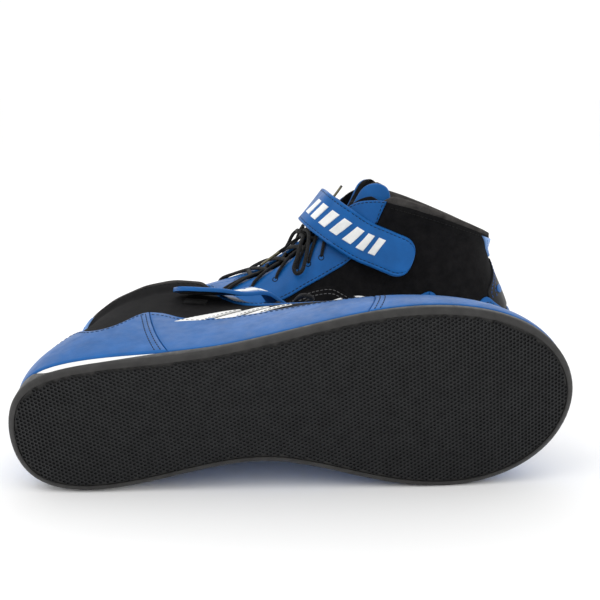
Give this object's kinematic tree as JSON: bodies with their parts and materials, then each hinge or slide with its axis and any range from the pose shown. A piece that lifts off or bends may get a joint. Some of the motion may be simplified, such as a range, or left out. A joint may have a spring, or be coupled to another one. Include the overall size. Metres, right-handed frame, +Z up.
{
  "type": "pair of laced ankle boots with ankle strap",
  "caption": "Pair of laced suede and leather ankle boots with padded collar, ankle strap and thin rubber sole; one lies on its inner side, one stands.",
  "frame": {"origin": "centre of the pair's bounding box on the floor", "axes": "+X along the lying boot towards its toe, +Y away from the lying boot's sole towards the standing boot, +Z up"},
  "size_m": [0.3, 0.2596, 0.141],
  "materials": {
    "outsole_rubber": "matt, fine tread",
    "wedge_foam": "matt foam",
    "insole_board": "fibre board",
    "footbed_fabric": "knitted, matt",
    "blue_leather": "smooth, soft sheen",
    "black_suede": "suede, matt",
    "white_leather": "smooth",
    "pale_blue_leather": "smooth",
    "black_leather": "smooth, stitched",
    "collar_suede": "suede, padded",
    "lining_knit": "knitted",
    "stiffener_board": "fibre board",
    "fastener_tape": "woven hook and loop tape",
    "lace_cord": "round braid",
    "aglet_film": "glossy film"
  },
  "bodies": {
    "right_boot": {"right_aglets": "aglet_film", "right_collar_padding": "collar_suede", "right_eyestay_lateral": "blue_leather", "right_eyestay_medial": "blue_leather", "right_footbed": "footbed_fabric", "right_heel_counter": "stiffener_board", "right_heel_foxing": "blue_leather", "right_heel_patch": "black_leather", "right_heel_tab": "pale_blue_leather", "right_insole_board": "insole_board", "right_lace": "lace_cord", "right_lace_ends": "lace_cord", "right_lining": "lining_knit", "right_loop_pad": "fastener_tape", "right_midsole_wedge": "wedge_foam", "right_outsole": "outsole_rubber", "right_quarter_lateral": "black_suede", "right_quarter_medial": "black_suede", "right_side_foxing_lateral": "blue_leather", "right_side_foxing_medial": "blue_leather", "right_side_stripes": "white_leather", "right_toe_cap": "blue_leather", "right_toe_puff": "stiffener_board", "right_vamp": "black_suede"},
    "right_strap": {"right_strap_wrap": "blue_leather"},
    "right_strap_end": {"right_strap_tip": "blue_leather", "right_strap_hook_pad": "fastener_tape"},
    "right_tongue": {"right_tongue": "black_suede", "right_tongue_facing": "blue_leather"},
    "left_boot": {"left_aglets": "aglet_film", "left_collar_padding": "collar_suede", "left_eyestay_lateral": "blue_leather", "left_eyestay_medial": "blue_leather", "left_footbed": "footbed_fabric", "left_heel_counter": "stiffener_board", "left_heel_foxing": "blue_leather", "left_heel_patch": "black_leather", "left_heel_tab": "pale_blue_leather", "left_insole_board": "insole_board", "left_lace": "lace_cord", "left_lace_ends": "lace_cord", "left_lining": "lining_knit", "left_loop_pad": "fastener_tape", "left_midsole_wedge": "wedge_foam", "left_outsole": "outsole_rubber", "left_quarter_lateral": "black_suede", "left_quarter_medial": "black_suede", "left_side_foxing_lateral": "blue_leather", "left_side_foxing_medial": "blue_leather", "left_side_stripes": "white_leather", "left_toe_cap": "blue_leather", "left_toe_puff": "stiffener_board", "left_vamp": "black_suede"},
    "left_strap": {"left_strap_wrap": "blue_leather"},
    "left_strap_end": {"left_strap_tip": "blue_leather", "left_strap_hook_pad": "fastener_tape"},
    "left_tongue": {"left_tongue": "black_suede", "left_tongue_facing": "blue_leather"}
  },
  "joints": [
    {"name": "left_boot_lift", "type": "slide", "parent": "right_boot", "child": "left_boot", "axis": [0, 0, 1], "range_m": [0, 0.2]},
    {"name": "right_strap_open", "type": "hinge", "parent": "right_boot", "child": "right_strap", "pos_m": [-0.04843, -0.02402, 0.01322], "axis": [-0.7747, 0.6324, -0.0022], "range_deg": [0, 32]},
    {"name": "right_strap_peel", "type": "hinge", "parent": "right_strap", "child": "right_strap_end", "pos_m": [-0.03167, -0.01884, 0.08396], "axis": [-0.5892, 0.7986, -0.1229], "range_deg": [0, 110]},
    {"name": "right_tongue_fold", "type": "hinge", "parent": "right_boot", "child": "right_tongue", "pos_m": [0.03812, -0.06622, 0.05082], "axis": [-0.0819, -0.0969, 0.9919], "range_deg": [0, 12]},
    {"name": "left_strap_open", "type": "hinge", "parent": "left_boot", "child": "left_strap", "pos_m": [0.04479, 0.12021, 0.098], "axis": [-0.7453, -0.0902, -0.6606], "range_deg": [0, 75]},
    {"name": "left_strap_peel", "type": "hinge", "parent": "left_strap", "child": "left_strap_end", "pos_m": [0.03026, 0.04966, 0.1091], "axis": [-0.5486, -0.2185, -0.8071], "range_deg": [0, 110]},
    {"name": "left_tongue_fold", "type": "hinge", "parent": "left_boot", "child": "left_tongue", "pos_m": [-0.03846, 0.07559, 0.056], "axis": [-0.1201, 0.9928, 0], "range_deg": [0, 12]}
  ]
}
